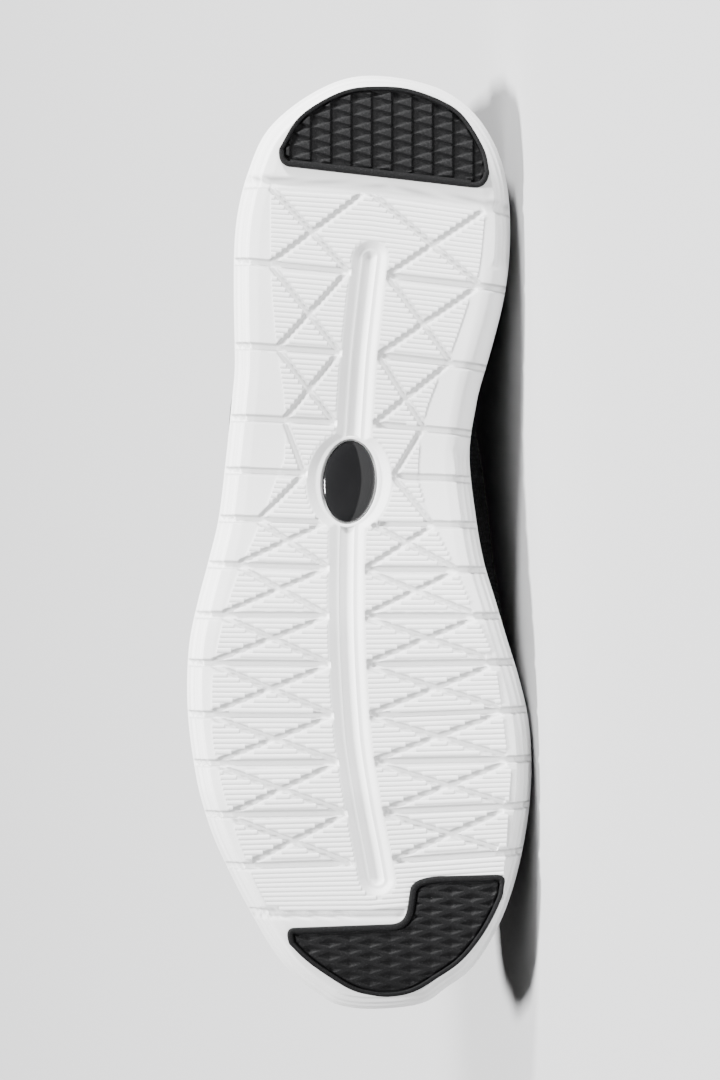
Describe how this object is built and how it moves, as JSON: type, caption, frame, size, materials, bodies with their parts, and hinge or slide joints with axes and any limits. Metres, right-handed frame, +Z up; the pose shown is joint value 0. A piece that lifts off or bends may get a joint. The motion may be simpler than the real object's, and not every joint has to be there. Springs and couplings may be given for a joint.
{
  "type": "dance sneaker",
  "caption": "Left low-cut dance sneaker with a black knit upper, laces and a white moulded sole with black rubber heel and toe pads, lying on its inner side.",
  "frame": {"origin": "centre of the bounding box at the floor that the shoe lies on", "axes": "+X from the toe to the heel, -Y out of the sole, +Z up from the floor on which the big-toe side lies"},
  "size_m": [0.264, 0.1142, 0.0952],
  "materials": {
    "foam": "moulded white foam, semi-matt",
    "pad_rubber": "black rubber, satin",
    "badge_gloss": "glossy black",
    "knit": "black knit",
    "film": "smooth black backing",
    "tongue_knit": "black knit",
    "lining": "black brushed lining",
    "lace_cotton": "flat woven black lace"
  },
  "bodies": {
    "root": {"sole_unit": "foam", "heel_pad": "pad_rubber", "toe_pad": "pad_rubber", "badge": "badge_gloss", "upper": "knit", "eyestay": "film", "tongue": "tongue_knit", "insole": "lining", "lace": "lace_cotton"}
  },
  "joints": []
}
